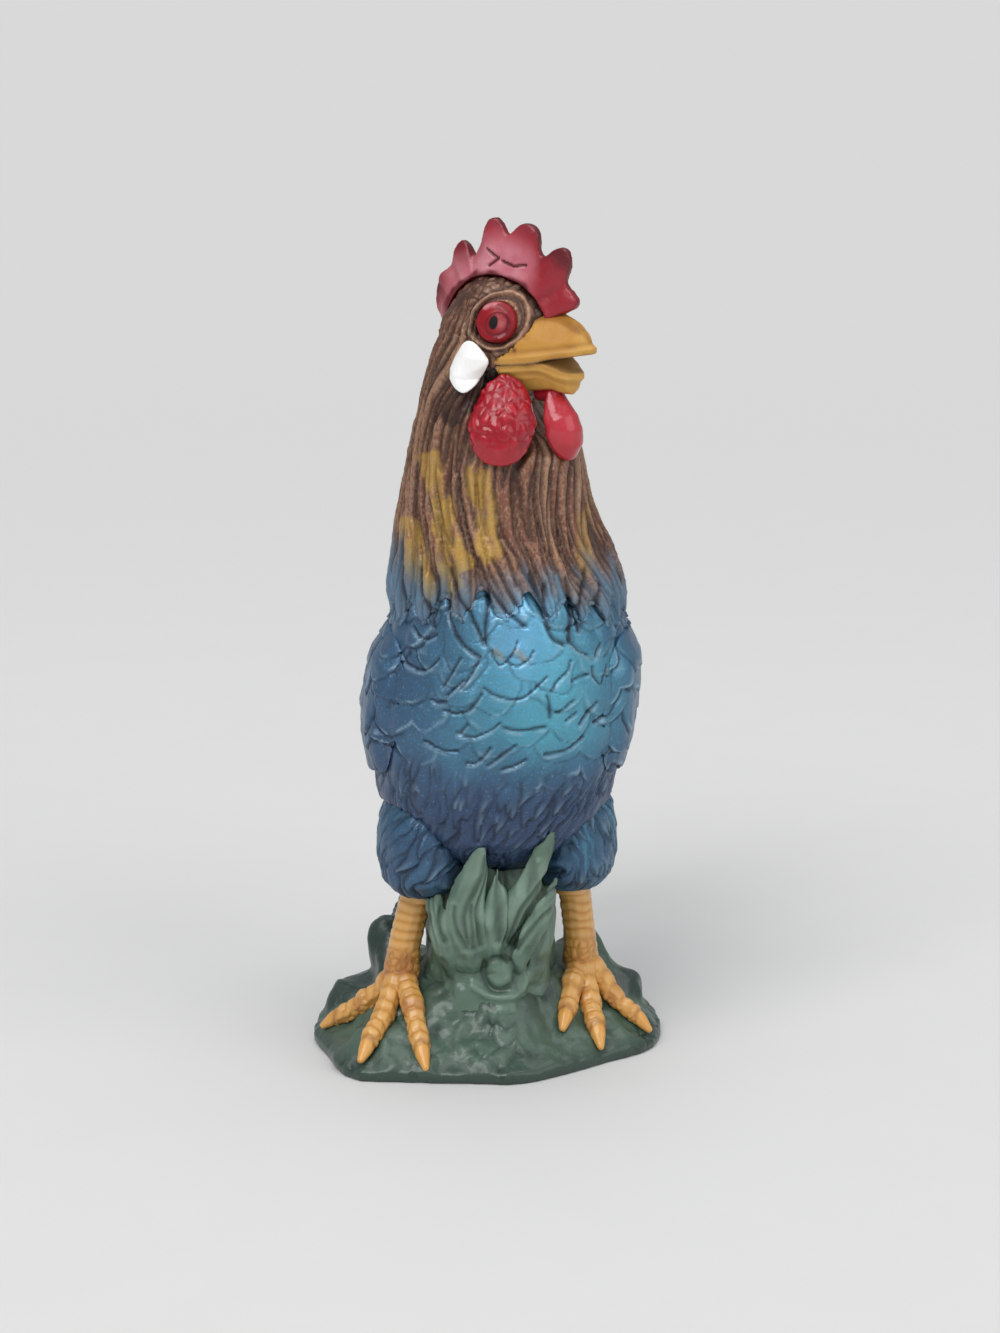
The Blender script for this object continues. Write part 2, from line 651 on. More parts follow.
def gloss_paint(name, base, dark, pale, rough, coat, depth, tint=None, shine=0.5, dull=0.0):
    """Smooth enamel: a dark wash, a pale rub, a soft mottle and a little bump; dull roughens the tint"""
    paint = Paint(name)
    mottle = paint.grain(1.4, 3.0)
    body = paint.mix((mottle - 0.35) * 0.5, base, dark, "SOFT_LIGHT")
    body = paint.mix(paint.mask("rub") * (0.3 + 0.7 * mottle), body, pale)
    if tint is not None:
        body = paint.mix(paint.mask("tint"), body, tint)
    body = paint.mix(paint.mask("wash"), body, dark)
    fine = paint.grain(0.35, 3.0)
    rough = rough - 0.06 + 0.14 * fine + dull * paint.mask("tint")
    return paint.finish(body, rough, fine, depth, Coat_Weight=coat, Coat_Roughness=0.12,
                        Specular_IOR_Level=shine)


# Carving shared by several pieces

def settings(context):
    return context.scene.rooster_sizes, context.scene.rooster_colours


def around(radius, width):
    """How many columns of a width fit round a radius"""
    return round(2 * math.pi * radius / width)


def feather_rows(skin, v, sizes):
    """Round feathers over the body, uneven and softly worn, with short barbs on some of them"""
    width, pitch = sizes.scale_w * MM, sizes.scale_pitch * MM
    count = around(BODY_R, width)
    drift = 0.17 * skin.noise(2.3, 44) + 0.05 * skin.noise(0.7, 45)
    fall = v + 0.6 * skin.noise(2.1, 46)
    along, across, chance, gap = shingles(
        skin.turn() / 360 * count + drift, fall, width, pitch, 1.9 * pitch, 41, ROUND_TIP, 0.34, count, 1.3)
    drawn = ramp(-0.6, 0.1, skin.noise(2.6, 47))
    barb = np.abs(np.sin((fall + 1.3 * across ** 2 + 0.5 * drift) * math.pi / 0.8 + 9 * chance))
    barb = (1 - barb) ** 3 * ramp(0.0, 0.5, skin.noise(2.4, 48)) * ramp(0.5, 0.9, along)
    line = bell(gap, sizes.line_w * MM) * (0.3 + 0.7 * drawn)
    height = (sizes.scale_lift * MM * (along ** 1.5 - 0.35) + 0.06 * (1 - across ** 2)
              + 0.07 * skin.cloud(1.5, 50) - sizes.line_depth * MM * (line + 0.45 * barb))
    rub = bell(gap - 0.3, 0.13) * ramp(0.4, 0.8, along) * ramp(-0.3, 0.4, skin.noise(1.2, 49))
    return height, clip(line + 0.5 * barb), rub, chance


def hair_rows(skin, v, sizes, seed, slant):
    """Hair-like strokes that hang down, slanted by a share of their fall"""
    width = sizes.hair_w * MM
    count = around(HIP_R, width)
    wave = 0.9 * skin.noise(3.4, seed + 7) + 0.3 * skin.noise(1.2, seed + 8)
    along, across, chance, gap = shingles(
        skin.turn() / 360 * count + slant * v / width + wave, v, width, 1.7 * width, 3.9 * width, seed,
        POINTED_TIP, 0.6, count, 1.4)
    drawn = ramp(-0.5, 0.3, skin.noise(2.0, seed + 9))
    line = bell(gap, sizes.line_w * MM) * (0.3 + 0.7 * drawn)
    height = (0.17 * (1 - across ** 2) + 0.14 * along + 0.1 * skin.cloud(1.1, seed + 5)
              - 0.17 * line - 0.14)
    rub = bell(across, 0.3) * ramp(0.5, 0.9, along) * ramp(0.45, 0.8, chance)
    return height, line, rub, chance


def strands(skin, sizes):
    """Long wavy hackle strands down the neck, narrower towards the head, with fine lines along them"""
    turn = skin.turn()
    count = around(NECK_R, sizes.strand_w * MM)
    wave = 10 * np.sin(np.radians(360 * (skin.z - SKIRT_Z) / NECK_H + turn))
    wobble = 0.6 * skin.noise(3.1, 82, (1, 1, 0.5)) + 0.12 * skin.noise(1.1, 83, (1, 1, 0.6))
    width = 2 * math.pi * np.hypot(skin.x, skin.y) / count
    along, across, chance, gap = shingles(
        (turn + wave) / 360 * count + wobble, 90 - skin.z, width, 7.5, 17.0, 81, POINTED_TIP, 0.48, count,
        1.32)
    line = bell(gap, 0.16 + 0.06 * (width > 1))
    fine = (1 - np.abs(np.sin(math.pi * (2.3 * across + chance)))) ** 4 * ramp(0.8, 1.5, width)
    ridge = np.sqrt(clip(1 - across ** 2))
    height = sizes.strand_depth * MM * (0.8 * ridge + 0.25 * along - 0.55 * line - 0.1 * fine - 0.5)
    return height * ramp(0.3, 1.2, width), clip(line + 0.14 * fine), chance, ridge, across


def front_lines(skin, strokes, drop=0.0):
    """Distance to lines drawn over the front, given by compass turn and height"""
    arc = math.radians(BODY_R)
    strokes = [[(turn * arc, z) for turn, z in stroke] for stroke in strokes]
    turn = np.where(skin.turn() > 90, -180.0, skin.turn())
    return line_distance(turn * arc, skin.z + drop, strokes)


def hem_rise(skin):
    """Height above the hem of the hackle"""
    turn = np.radians(skin.turn())
    strand = np.abs(np.cos(9 * (turn + math.radians(10) * np.sin(turn))))
    return skin.z - SKIRT_Z - 3.2 * (1 - strand) - 0.04 * NECK_H * (1 - np.cos(2 * turn))


def collar_rise(skin):
    """Height above the top edge of the hackle, which dips under the face"""
    off = np.abs(np.mod(skin.turn() - math.degrees(HEAD_TURN) + 270, 360) - 180)
    return skin.z - COLLAR_Z + 6.74 * (1 - ramp(45, 95, off))


def ear_pocket(skin):
    """The shadow painted between the near ear lobe and the wattle"""
    x, y, z = skin.head().T
    return capsule(y, z, ((0.6, 62.2), (-1.6, 64.8)), 1.5) * (x < -1)


def body_masks(skin, chance):
    """Where the blue body is bright, teal, navy or touched with gold"""
    turn = skin.turn()
    drift = skin.cloud(3.0, 31)
    z = skin.z + 1.2 * drift
    skin.mark(
        glow=bell(turn + 81 + 6 * drift, 15) * bell(z - 42.6, 4.4) * (0.75 + 0.25 * chance),
        teal=(bell(turn + 72 + 8 * drift, 34) * ramp(26, 34, z) * (1 - 0.45 * ramp(41, 47, z))
              * (0.8 + 0.2 * chance)),
        dusk=(1 - ramp(25, 35, z)) * (0.8 + 0.2 * chance),
        gold=0.6 * sum(capsule(turn * 0.2, skin.z, ends, 0.42) for ends in (
            ((-18.4, 41.2), (-17.9, 40.7)), ((-16.5, 41.2), (-15.9, 40.6)))),
        shade=chance)


def body_drop(skin):
    """Distance down over the body, which goes on under the belly"""
    radius = np.hypot(skin.x, 0.8 * skin.y)
    return 80 - skin.z + 0.6 * np.maximum(11 - radius, 0) * (skin.z < 34)


def plume_lines(skin, side, shares):
    """Place along and across a curved plume"""
    points = np.array([(side * SICKLE_SPREAD * (s[0] if side < 0 else min(s[0], RIGHT_SPREAD)) + 0.6,
                        TAIL_Y + s[1] * TAIL_L, s[2] * BODY_TOP) for s in shares])
    path = smooth(points, 20)
    steps = np.gradient(path, axis=0)
    tangent = steps / np.linalg.norm(steps, axis=1)[:, None]
    flat = np.cross(np.array([side, 0, 0.25]), tangent)
    flat /= np.linalg.norm(flat, axis=1)[:, None]
    out = np.cross(tangent, flat)
    twist = np.radians(side * PLUME_TWIST * np.linspace(0, 1, len(path)))[:, None]
    broad = flat * np.cos(twist) + out * np.sin(twist)
    fall = np.concatenate([[0], np.cumsum(np.linalg.norm(np.diff(path, axis=0), axis=1))])
    nearest = np.empty(len(skin.at), int)
    for start in range(0, len(skin.at), BLOCK):
        block = skin.at[start:start + BLOCK]
        nearest[start:start + BLOCK] = np.argmin(((block[:, None, :] - path[None]) ** 2).sum(2), axis=1)
    away = skin.at - path[nearest]
    run = fall[nearest] + (away * tangent[nearest]).sum(1)
    return run, (away * broad[nearest]).sum(1)


def barbs(skin, run, across, seed):
    """A shaft and slanting barbs along a plume"""
    slant = run + 1.1 * np.abs(across) + 0.25 * skin.noise(1.1, seed)
    ripple = np.abs(np.sin(slant * math.pi / 0.62))
    split = np.clip(noise(np.stack([slant * 0.5, slant * 0, slant * 0], 1), 0.6, seed + 3), 0.35, 1) - 0.35
    shaft = bell(across, 0.2)
    wash = 0.75 * (1 - ripple) ** 2 + bell(np.abs(across) - 0.36, 0.12) * 0.7 + 0.8 * split
    skin.carve(0.09 * ripple + 0.2 * shaft - 0.28 * split - 0.06)
    skin.mark(wash=clip(wash), rub=0.35 * shaft + 0.2 * ripple ** 6,
              shade=ramp(-0.6, 0.9, skin.noise(7.0, seed + 5)))


# Pieces

class RoosterGround(bpy.types.Operator):
    """Make the grassy mound and the grass tuft"""
    bl_idname = "rooster.make_ground"
    bl_label = "Ground"

    @staticmethod
    def knob(skin):
        """Distance from the round knob at the foot of the tuft, and the ridge that curls under it"""
        behind = FAR * (skin.y > -2)
        low = [((-2.6, 7.8), (-1.2, 7.0), (0.4, 6.8), (2.0, 7.2), (2.5, 8.6))]
        return (np.hypot(skin.x + 0.1, 0.9 * (skin.z - 9.1)) + behind,
                bell(line_distance(skin.x, skin.z, low) + behind, 0.4))

    def mound(self, sizes, paint):
        skin = Skin("base_mound", 0.2, 14, sizes.seam)
        x, y, z = skin.at.T
        notch = lump(skin, (-13.4, 6.5, 5.4), (1.5, 5.0, 1.3))
        lobes = (lump(skin, (-14.4, 5.0, 2.8), (2.2, 3.0, 1.7))
                 + lump(skin, (-11.0, 8.5, 7.6), (1.6, 3.5, 2.4))
                 + lump(skin, (12.3, 6.0, 3.6), (1.6, 3.0, 1.8)))
        turf, dabs = skin.cloud(2.0, 3), skin.noise(1.1, 4, (1, 1, 0.7))
        middle = np.hypot(x - MOUND_X, y - MOUND_Y)
        along, across, _, gap = shingles(
            skin.turn(MOUND_X, MOUND_Y) / 360 * 34 + 0.8 * skin.noise(3.0, 5),
            middle + 3 * (7 - z) * (z < 7), 2.4, 3.0, 5.5, 8, POINTED_TIP, 0.6, 34, 1.3)
        grass = ramp(0.0, 0.5, skin.noise(3.5, 7)) * ramp(6, 8, middle)
        line = bell(gap, 0.2) * grass
        above = ramp(0.15, 1.1, z)
        bank = 1 - ramp(5.6, 8.4, np.hypot(x - TUFT_X, 0.93 * y))
        knob, ridge = self.knob(skin)
        rear = ramp(-9.3, -11.3, x) * ramp(0.5, 3.5, y) * ramp(1.0, 2.4, z)
        skin.mark(
            tint=clip(1.2 * ramp(0.15, 0.5, lobes) + rear) * 0.9,
            wash=above * clip(0.4 * line + 0.6 * ramp(0.1, 0.9, -turf) + 0.35 * bank * (dabs < 0)
                              + 0.5 * bell(knob - 1.6, 0.3)) + 0.5 * (1 - ramp(0.3, 2.6, z)) + 0.38,
            rub=clip(above * (ramp(0.2, 0.8, dabs) * ramp(0, 0.6, turf) * 0.5 + 0.25 * grass * along)
                     + 0.5 * ridge))
        skin.seam *= above
        skin.carve(above * (0.3 * turf + 0.16 * dabs + grass * (0.14 * along * (1 - across ** 2))
                            - 0.12 * line - 0.03 + 0.9 * bank + 1.5 * lobes - 1.3 * notch + 0.3 * ridge))
        skin.piece("grassy_mound", "ground_paint", paint)

    def tuft(self, sizes, paint):
        skin = Skin("grass_tuft", 0.14, 5, sizes.seam)
        x, y, z = skin.at.T
        blade = skin.turn(TUFT_X, 0) / 360 * 26 + 0.9 * skin.noise(2.6, 11, (1, 1, 0.35))
        along, across, _, gap = shingles(blade, 40 - z, 1.45, 5.0, 11.0, 12, POINTED_TIP, 0.5, 26, 1.3)
        leafy = ramp(9.5, 12.5, z + 0.8 * skin.noise(2.0, 13))
        front = y < 0
        near = np.where(front, line_distance(x, z, LEAF_LINES), FAR)
        plain = 1 - 0.75 * front * ramp(-7, -5, x) * ramp(7.5, 6, x)
        line = bell(gap, 0.15) * plain * leafy
        drawn = bell(near, 0.2)
        knob, ridge = self.knob(skin)
        rocks = skin.cloud(1.9, 14)
        shine = ramp(0.45, 0.8, skin.noise(0.7, 17, (1, 1, 0.5))) * ramp(0.0, 0.5, skin.noise(2.4, 18))
        bundle = bell(x - 0.3, 1.7) * front * ramp(12.0, 14.5, z)
        skin.carve(leafy * plain * (0.14 * (1 - across ** 2) + 0.1 * along)
                   + (1 - leafy) * (0.28 * rocks + 0.14 * skin.noise(0.9, 19))
                   + 0.06 * skin.noise(0.6, 15, (1, 1, 0.3)) - 0.2 * line - 0.2 * drawn - 0.08
                   + 0.55 * bundle * (1 - ramp(17.0, 19.0, z)) * (y < -3)
                   + 0.55 * np.sqrt(clip(1 - (knob / 1.25) ** 2)) - 0.2 * bell(knob - 1.5, 0.25)
                   + 0.35 * ridge)
        skin.mark(
            wash=clip(0.7 * line + 0.5 * drawn + 0.7 * bell(knob - 1.5, 0.28)
                      + (1 - leafy) * 0.7 * ramp(0, 0.7, -rocks)),
            rub=clip(0.45 * bell(near - 0.45, 0.2) * front + 0.4 * along * bell(across, 0.4) * plain * leafy
                     + 0.75 * leafy * front * ramp(-0.3, 0.6, skin.noise(1.0, 16, (1, 1, 0.4)))
                     + 0.5 * ridge + 0.35 * (knob < 0.9) + 0.7 * shine + 0.4 * bundle)
            * (1 - 0.5 * front * ramp(3.0, 6.0, skin.x)),
            tint=0 * x)
        leaf = bell(skin.x + 3.2, 1.6) * ramp(15, 20, skin.z) * (skin.y < -5.5)
        lift = leaf * ramp(18, 21.6, skin.z)
        skin.at = skin.at + np.stack([1.6 * leaf, -1.1 * lift, 0.9 * lift], 1)
        skin.piece("grass_blades", "grass_paint", paint)

    def execute(self, context):
        sizes, colours = settings(context)
        paint = gloss_paint("ground_paint", colours.grass_green, colours.grass_deep,
                            colours.grass_pale, 0.4, 0.25, 0.05, colours.tail_green)
        self.mound(sizes, paint)
        self.tuft(sizes, paint)
        return {"FINISHED"}


class RoosterLegs(bpy.types.Operator):
    """Make the scaled legs with their toes and claws"""
    bl_idname = "rooster.make_legs"
    bl_label = "Legs"

    @staticmethod
    def toe_share(away, distance, ankle, toes):
        """How far along the nearest toe a place lies, 1 at the claw's tip"""
        best, tip = np.full(len(distance), -FAR), np.ones(len(distance))
        for toe in toes:
            reach = on_mound(toe) - ankle
            full = np.linalg.norm(reach)
            side = away @ (reach / full) - 2.5 * np.abs(away @ np.array([-reach[1], reach[0]]) / full)
            tip = np.where(side > best, distance / full, tip)
            best = np.maximum(best, side)
        return tip

    def execute(self, context):
        sizes, colours = settings(context)
        paint = gloss_paint("leg_paint", colours.leg_ochre, colours.leg_brown, colours.leg_pale,
                            0.36, 0.3, 0.03, colours.leg_rust)
        pitch = sizes.scute_pitch * MM
        for node, (foot, toes) in FEET.items():
            skin = Skin(node, 0.11, 6, sizes.seam)
            ankle = on_mound(foot)
            away = skin.at[:, :2] - ankle
            distance = np.linalg.norm(away, axis=1)
            tip = self.toe_share(away, distance, ankle, toes)
            shank = ramp(1.6, 2.6, skin.z - 8.4)
            turn = np.arctan2(away[:, 1], away[:, 0])
            run = (np.where(shank > 0.5, skin.z, distance * 1.05) + 0.22 * skin.noise(1.3, 21)
                   + 0.12 * np.cos(2 * turn) * shank)
            saw = np.mod(run / pitch, 1)
            line = bell(np.minimum(saw, 1 - saw) * pitch, 0.15)
            front = blend(ramp(0.0, 0.5, skin.out[:, 2]), ramp(-0.35, 0.25, -skin.out[:, 1]), shank)
            near, second = pebbles(skin.at, 0.75, 23)
            bead = ramp(0.05, 0.3, second - near)
            claw = ramp(0.8, 0.86, tip) * (1 - shank)
            claw_edge = bell(tip - 0.83, 0.02) * (1 - shank)
            joint = bell(np.mod(tip * 3.0, 1) - 0.55, 0.2) * (1 - shank) * (1 - claw)
            scutes = front * (sizes.scute_depth * MM * (0.5 * np.sin(math.pi * saw) - 0.8 * line)
                              * (1 - 0.35 * shank))
            beads = (1 - front) * 0.09 * (bead - 0.6)
            skin.carve((1 - claw) * (scutes + beads) + 0.05 * joint - 0.08 * claw_edge)
            skin.mark(
                wash=clip((1 - claw) * (0.28 * front * line + 0.3 * (1 - front) * (1 - bead))
                          + 0.4 * claw_edge),
                rub=clip((1 - claw) * front * bell(saw - 0.5, 0.22) * 0.55 + (1 - front) * bead * 0.2),
                tint=clip(0.6 * joint * ramp(-0.4, 0.6, skin.noise(1.5, 26))
                          + 0.3 * ramp(0.2, 0.9, skin.noise(1.8, 27))))
            skin.piece("scaled_" + node, "leg_paint", paint)
        return {"FINISHED"}


class RoosterBody(bpy.types.Operator):
    """Make the feathered body and thighs"""
    bl_idname = "rooster.make_body"
    bl_label = "Body and thighs"

    def execute(self, context):
        sizes, colours = settings(context)
        paint = blue_paint("blue_paint", colours)
        skin = Skin("torso", 0.205, 34, sizes.seam)
        fall = body_drop(skin)
        height, line, rub, chance = feather_rows(skin, fall, sizes)
        low, low_line, low_rub, low_chance = hair_rows(skin, fall, sizes, 43, 0.35)
        k = ramp(27.5, 31.5, skin.z + 1.6 * skin.noise(2.5, 45))
        body_masks(skin, blend(low_chance, chance, k))
        turn = skin.turn()
        plain = 0.5 * (ramp(-128, -120, turn) * ramp(-36, -44, turn)
                       * ramp(29.5, 31, skin.z) * ramp(44, 42, skin.z))
        shake = 0.12 * skin.noise(0.8, 49)
        drawn = bell(front_lines(skin, BREAST_LINES, shake), 0.14 + 0.05 * skin.noise(1.5, 46))
        deep = bell(front_lines(skin, HACKLE_LINES, shake), 0.22)
        lip = bell(front_lines(skin, BREAST_LINES + HACKLE_LINES, 0.32), 0.14)
        height = blend(height, 0.1 * skin.cloud(1.8, 47), plain)
        skin.mark(
            wash=clip(blend(0.7 * low_line, 0.85 * line * (1 - plain), k) + 0.9 * drawn + deep),
            rub=clip(blend(0.5 * low_rub, 0.9 * rub * (1 - plain), k)
                     + 0.75 * lip * ramp(-0.5, 0.3, skin.noise(1.3, 48))))
        side = 90 - np.abs(90 - np.abs(turn))
        edge = bell(np.where(skin.y < 0, side - 43, FAR), 6) * ramp(27, 30, skin.z) * ramp(43, 41, skin.z)
        hem = hem_rise(skin)
        under = 0.36 * ramp(-4.5, -0.2, hem) * (1 - ramp(0, 0.6, hem))
        skin.carve(blend(low, height, k) + 0.3 * edge + under - 0.24 * drawn - 0.3 * deep + 0.1 * lip)
        skin.piece("feathered_torso", "breast_paint", paint)

        for node, side, seed in (("thigh_left", -1, 51), ("thigh_right", 1, 57)):
            skin = Skin(node, 0.15, 14, sizes.seam)
            height, line, rub, chance = hair_rows(skin, 60 - skin.z, sizes, seed, -0.45 * side)
            body_masks(skin, chance)
            skin.mark(wash=0.7 * line, rub=0.5 * rub, dusk=0.4 + 0.35 * chance,
                      teal=0.22 + 0.1 * side + 0.25 * ramp(-0.4, 0.7, skin.noise(3.0, seed + 3)))
            skin.carve(height)
            skin.piece("feathered_" + node, "thigh_paint", paint)
        return {"FINISHED"}


class RoosterWings(bpy.types.Operator):
    """Make the folded wings with their coverts and flight feathers"""
    bl_idname = "rooster.make_wings"
    bl_label = "Wings"

    def execute(self, context):
        sizes, colours = settings(context)
        paint = blue_paint("wing_paint", colours)
        for node, side, seed in (("wing_left", -1, 61), ("wing_right", 1, 67)):
            skin = Skin(node, 0.16, 8, sizes.seam)
            height, line, rub, chance = feather_rows(skin, body_drop(skin), sizes)
            turn = skin.turn()
            back = np.where(turn < -90, turn + 360, turn)
            back = (180 - back if side < 0 else back) * WING_STEP
            fan = (skin.z - WING_Z + 8) / 1.9 + 0.12 * back
            along, across, dice, gap = shingles(fan, back + 40, 1.9, 7.0, 15.0, seed, LEAF_TIP, 0.3)
            flight_line = bell(gap, 0.2)
            flight = (0.3 * (1 - across ** 2) + 0.1 * along - 0.25 * flight_line - 0.15
                      + 0.1 * bell(across, 0.12))
            k = np.maximum(ramp(-1.5, 0.5, skin.z - WING_Z + 0.16 * back - 1.5), 1 - ramp(0.5, 3.5, back))
            body_masks(skin, blend(dice, chance, k))
            barb = np.abs(np.sin((back + 0.9 * np.abs(across)) * math.pi / 0.7))
            skin.mark(
                wash=0.85 * blend(clip(flight_line + 0.25 * (1 - barb)), line, k),
                rub=blend(0.4 * bell(across, 0.16) + 0.3 * bell(gap - 0.35, 0.15), 0.9 * rub, k))
            rim = bell(90 - np.abs(90 - np.abs(turn)) - 40, 7) * (skin.y < 0)
            skin.carve(blend(flight + 0.04 * barb, height, k) - 0.42 * rim)
            skin.piece("feathered_" + node, "wing_paint", paint)
        return {"FINISHED"}


class RoosterTail(bpy.types.Operator):
    """Make the saddle feathers, the tail fan, the coverts and the sickles"""
    bl_idname = "rooster.make_tail"
    bl_label = "Saddle and tail"

    def execute(self, context):
        sizes, colours = settings(context)
        dark = tail_paint("tail_paint", colours)

        skin = Skin("saddle_feathers", 0.15, 6, sizes.seam)
        along, across, chance, gap = shingles(
            skin.turn() / 360 * 42 + 0.35 * skin.noise(3.0, 71), 70 - skin.z, 1.7, 5.5, 12.0, 72,
            POINTED_TIP, 0.4, 42, 1.3)
        line = bell(gap, 0.18)
        skin.carve(0.32 * (1 - across ** 2) + 0.1 * along - 0.2 * line - 0.16)
        skin.mark(wash=0.85 * line, rub=0.35 * bell(across, 0.3), shade=chance,
                  gold=ramp(0.62, 0.75, chance) * ramp(0.1, 0.5, along) * 0.8,
                  fade=1 - ramp(32.5, 38.0, skin.z + 1.2 * skin.noise(2.0, 74)))
        skin.piece("saddle_strands", "saddle_paint", hackle_paint("saddle_paint", colours))

        skin = Skin("tail_fan", 0.17, 8, sizes.seam)
        behind, above = skin.y - 0.82 * TAIL_Y, skin.z - TAIL_Z
        feather = (np.degrees(np.arctan2(above, behind)) + 46) / 130 * 7
        reach = np.hypot(above, behind)
        width = np.maximum(reach, 2) * 0.32
        barbs(skin, reach, (feather - np.floor(feather) - 0.5) * width, 75)
        edge = bell(np.abs(feather - np.round(feather)) * width, 0.22)
        skin.at = skin.at - skin.out * (0.3 * edge)[:, None]
        skin.mark(wash=clip(skin.masks["wash"] + edge))
        skin.piece("tail_feathers", "tail_paint", dark)

        for node, side, shares, cell in (
                ("covert_left", -1, COVERT_PATH, 0.14), ("covert_right", 1, COVERT_PATH, 0.14),
                ("sickle_left", -1, SICKLE_PATH, 0.17), ("sickle_right", 1, SICKLE_PATH, 0.17)):
            skin = Skin(node, cell, 10, sizes.seam)
            barbs(skin, *plume_lines(skin, side, shares), 78 + side)
            skin.piece("curved_" + node, "tail_paint", dark)
        return {"FINISHED"}


class RoosterHackle(bpy.types.Operator):
    """Make the neck with its long hackle strands"""
    bl_idname = "rooster.make_hackle"
    bl_label = "Neck hackle"

    def execute(self, context):
        sizes, colours = settings(context)
        paint = hackle_paint("hackle_paint", colours)
        skin = Skin("neck_hackle", 0.18, 8, sizes.seam)
        height, line, chance, ridge, across = strands(skin, sizes)
        z, front = skin.z + 0.8 * skin.noise(1.6, 83), skin.y < 2
        hem = hem_rise(skin)
        deep = bell(front_lines(skin, HACKLE_LINES), 0.24)
        body_masks(skin, chance)
        gold = sum(capsule(skin.x + 0.4 * skin.noise(1.2, 84), z, ends, radius) for ends, radius in (
            (((-6.4, 57.5), (-3.4, 48.5)), 1.2), (((-1.9, 57.0), (-0.9, 50.0)), 1.3),
            (((-8.2, 51.5), (-6.6, 46.0)), 1.35), (((-4.9, 52.5), (-4.3, 47.0)), 1.2))) * front
        gold = gold + 0.35 * capsule(skin.x, z, ((7.4, 52.0), (7.7, 47.8)), 0.9) * front
        rear = ramp(0.72, 0.8, chance) * ramp(46, 50, z) * (1 - ramp(57, 60, z)) * (skin.y > 1)
        speck = ramp(-0.75, 0.35, skin.noise(0.6, 85, (1, 1, 0.45)) + 0.6 * ridge - 0.25)
        left = ramp(-125, -160, skin.turn()) * front
        low = 1 - ramp(44, 49, skin.z)
        skin.mark(
            gold=clip(1.5 * gold + 0.8 * rear) * speck,
            fade=1 - ramp(44.2, 49.8, z + 3 * (chance - 0.5) - 2.2 * left),
            wash=clip((0.85 * line + 0.4 * (1 - ridge)) * (1 - 0.5 * low) * (1 - 0.4 * clip(gold))
                      + 0.85 * ear_pocket(skin) + deep),
            rub=(0.35 * bell(across, 0.35) * ramp(0.3, 0.8, chance)
                 + 0.3 * ramp(0.3, 0.8, skin.noise(0.45, 87, (1, 1, 0.6)))) * ramp(48, 52, z))
        thin = 0.5 * (1 - ramp(0, 2.6, hem)) + 0.3 * ramp(-1.8, -0.1, collar_rise(skin))
        skin.carve(height * (0.4 + 0.6 * ramp(0, 3, hem)) + 0.03 * skin.noise(0.4, 86) - 0.25 * deep
                   - thin * np.clip(1 - 1.8 * np.abs(skin.out[:, 2]), -0.2, 1))
        skin.piece("hackle_strands", "hackle_paint", paint)
        return {"FINISHED"}


class RoosterHead(bpy.types.Operator):
    """Make the head with its cap, cheeks and eyelid folds"""
    bl_idname = "rooster.make_head"
    bl_label = "Head"

    def execute(self, context):
        sizes, colours = settings(context)
        paint = hackle_paint("face_paint", colours)
        skin = Skin("head", 0.11, 10, sizes.seam)
        x, y, z = skin.head().T
        hair, line, chance = strands(skin, sizes)[:3]
        eye = np.hypot(y - EYE_Y, z - EYE_Z) + FAR * (np.abs(x) < 0.8) + 0.12 * skin.noise(0.9, 91)
        face = ramp(0.6, -1.2, y + 0.25 * (z - HEAD_Z))
        near, second = pebbles(skin.at * (1, 1, 0.7), 0.8, 93)
        tuft = ramp(0.02, 0.28, second - near) * ramp(-0.7, 0.2, skin.noise(0.6, 96))
        ring = bell(eye - 2.4, 0.17)
        fold = bell(eye - 3.0, 0.17) * ramp(-0.3, 0.4, skin.noise(1.7, 95))
        seat = bell(eye - 2.02, 0.2)
        seam = bell(np.hypot(y, z - HEAD_Z) - 5.9, 0.35) * (z > HEAD_Z) * (np.abs(x) < 2.2)
        pocket = ear_pocket(skin)
        cap = np.maximum(face, ramp(1.5, 3.5, z - HEAD_Z))
        clear = cap * ramp(2.4, 2.9, eye)
        rise = collar_rise(skin)
        collar = (1 - ramp(0, 2.6, rise)) * ramp(-0.8, -0.2, rise) * (y > -1)
        skin.carve((1 - cap) * hair * 0.8 + clear * 0.1 * (tuft - 0.5)
                   + 0.2 * ring + 0.14 * fold - 0.2 * seat + 0.42 * collar)
        skin.mark(
            wash=clip((1 - cap) * 0.8 * line + clear * (0.3 + 0.5 * (1 - tuft)) + 0.8 * pocket
                      + 0.95 * seat + 0.5 * bell(eye - 2.7, 0.13) + 0.7 * seam),
            rub=clip(0.7 * ring + 0.5 * fold + 0.25 * clear * tuft * ramp(-0.2, 0.5, skin.noise(0.7, 97))),
            shade=0.4 * chance + 0.1 * face, **dict.fromkeys(("gold", "fade", "glow", "teal"), 0 * x))
        skin.piece("feathered_head", "face_paint", paint)
        return {"FINISHED"}


